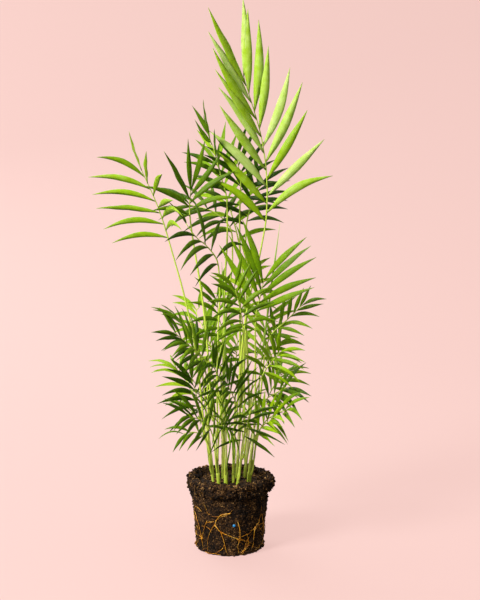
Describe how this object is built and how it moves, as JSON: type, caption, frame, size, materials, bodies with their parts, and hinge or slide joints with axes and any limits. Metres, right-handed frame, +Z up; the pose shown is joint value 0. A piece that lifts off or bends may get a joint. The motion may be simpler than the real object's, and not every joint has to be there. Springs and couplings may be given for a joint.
{
  "type": "parlour palm with bare root ball",
  "caption": "Clump of parlour palm seedlings standing on its bare root ball, with pinnate fronds on slim canes.",
  "frame": {"origin": "centre of the root ball's flat underside, on the surface that it stands on", "axes": "+Z up through the clump; the showiest side faces -Y, with +X to its right"},
  "size_m": [0.302, 0.2437, 0.7008],
  "materials": {
    "moist_potting_soil": "rough, crumbly, damp",
    "living_root": "smooth, slightly waxy",
    "coated_fertiliser": "resin coated",
    "cane_sheath": "smooth, satin",
    "rolled_new_leaf": "smooth, satin",
    "palm_leaf": "waxy, semi-gloss, slightly translucent"
  },
  "bodies": {
    "root": {"fertiliser_bead": "coated_fertiliser", "palm_a_cane": "cane_sheath", "palm_a_frond_1": "palm_leaf", "palm_a_frond_2": "palm_leaf", "palm_a_frond_3": "palm_leaf", "palm_a_frond_4": "palm_leaf", "palm_b_cane": "cane_sheath", "palm_b_frond_1": "palm_leaf", "palm_b_frond_2": "palm_leaf", "palm_b_frond_3": "palm_leaf", "palm_b_frond_4": "palm_leaf", "palm_c_cane": "cane_sheath", "palm_c_frond_1": "palm_leaf", "palm_c_frond_2": "palm_leaf", "palm_c_frond_3": "palm_leaf", "palm_c_spear": "rolled_new_leaf", "palm_d_cane": "cane_sheath", "palm_d_frond_1": "palm_leaf", "palm_d_frond_2": "palm_leaf", "palm_d_frond_3": "palm_leaf", "palm_e_cane": "cane_sheath", "palm_e_frond_1": "palm_leaf", "palm_e_frond_2": "palm_leaf", "palm_e_frond_3": "palm_leaf", "palm_f_cane": "cane_sheath", "palm_f_frond_1": "palm_leaf", "palm_f_frond_2": "palm_leaf", "palm_f_frond_3": "palm_leaf", "palm_f_frond_4": "palm_leaf", "palm_f_frond_5": "palm_leaf", "palm_f_spear": "rolled_new_leaf", "palm_g_cane": "cane_sheath", "palm_g_frond_1": "palm_leaf", "palm_g_frond_2": "palm_leaf", "palm_g_frond_3": "palm_leaf", "palm_g_frond_4": "palm_leaf", "palm_h_cane": "cane_sheath", "palm_h_frond_1": "palm_leaf", "palm_h_frond_2": "palm_leaf", "palm_h_frond_3": "palm_leaf", "palm_h_frond_4": "palm_leaf", "palm_i_cane": "cane_sheath", "palm_i_frond_1": "palm_leaf", "palm_i_frond_2": "palm_leaf", "palm_i_frond_3": "palm_leaf", "palm_i_frond_4": "palm_leaf", "palm_j_cane": "cane_sheath", "palm_j_frond_1": "palm_leaf", "palm_j_frond_2": "palm_leaf", "palm_j_frond_3": "palm_leaf", "palm_j_frond_4": "palm_leaf", "root_back": "living_root", "root_back_left": "living_root", "root_back_right": "living_root", "root_ball": "moist_potting_soil", "root_front": "living_root", "root_front_left": "living_root", "root_front_right": "living_root", "root_left": "living_root", "root_right": "living_root"}
  },
  "joints": []
}
